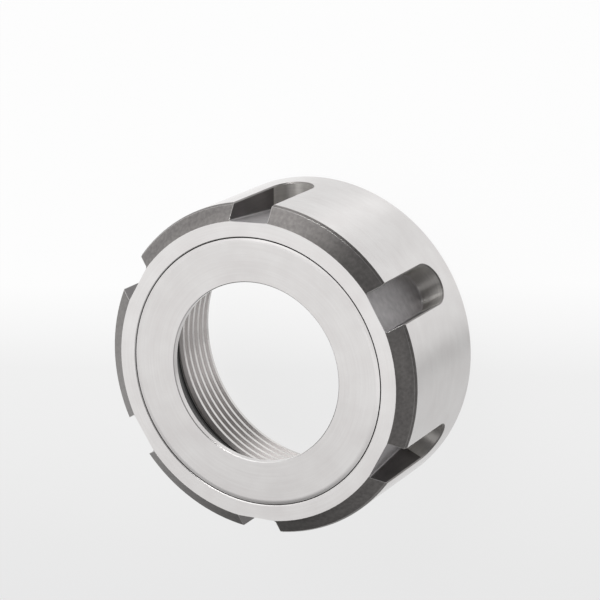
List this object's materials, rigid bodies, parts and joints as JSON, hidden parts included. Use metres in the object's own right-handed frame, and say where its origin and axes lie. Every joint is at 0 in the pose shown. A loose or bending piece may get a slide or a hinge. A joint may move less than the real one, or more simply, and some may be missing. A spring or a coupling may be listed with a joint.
{
  "type": "collet nut",
  "caption": "Threaded collet nut with a freely turning ball-borne pressure ring, outside spanner slots and a conical seat for the head of a spring collet.",
  "frame": {"origin": "on the nut's axis, in its flat back face, from which the spindle enters the thread", "axes": "+Z along the nut's axis towards its front face; +X through the middle of one spanner slot"},
  "size_m": [0.05, 0.05, 0.0225],
  "materials": {
    "blackened_steel": "hardened alloy steel, black oxide on the cone, slots and thread, ground bright on the outside and the front face",
    "ground_steel": "hardened alloy steel with a finely ground face",
    "plug_steel": "black oxide set screw",
    "ball_steel": "polished bearing steel"
  },
  "bodies": {
    "nut": {"nut_body": "blackened_steel", "loading_plug": "plug_steel"},
    "ring": {"pressure_ring": "ground_steel"},
    "ball_row": {"ball_01": "ball_steel", "ball_02": "ball_steel", "ball_03": "ball_steel", "ball_04": "ball_steel", "ball_05": "ball_steel", "ball_06": "ball_steel", "ball_07": "ball_steel", "ball_08": "ball_steel", "ball_09": "ball_steel", "ball_10": "ball_steel", "ball_11": "ball_steel", "ball_12": "ball_steel", "ball_13": "ball_steel", "ball_14": "ball_steel", "ball_15": "ball_steel", "ball_16": "ball_steel", "ball_17": "ball_steel", "ball_18": "ball_steel", "ball_19": "ball_steel", "ball_20": "ball_steel", "ball_21": "ball_steel", "ball_22": "ball_steel", "ball_23": "ball_steel", "ball_24": "ball_steel", "ball_25": "ball_steel", "ball_26": "ball_steel", "ball_27": "ball_steel", "ball_28": "ball_steel", "ball_29": "ball_steel", "ball_30": "ball_steel", "ball_31": "ball_steel", "ball_32": "ball_steel", "ball_33": "ball_steel", "ball_34": "ball_steel", "ball_35": "ball_steel", "ball_36": "ball_steel", "ball_37": "ball_steel", "ball_38": "ball_steel", "ball_39": "ball_steel"}
  },
  "joints": [
    {"name": "ring_spin", "type": "hinge", "parent": "nut", "child": "ring", "pos_m": [0, 0, 0.0179], "axis": [0, 0, 1], "continuous": true},
    {"name": "ball_orbit", "type": "hinge", "parent": "nut", "child": "ball_row", "pos_m": [0, 0, 0.0179], "axis": [0, 0, 1], "continuous": true}
  ],
  "couplings": [
    {"joint": "ball_orbit", "follows": "ring_spin", "ratio": 0.4593}
  ]
}
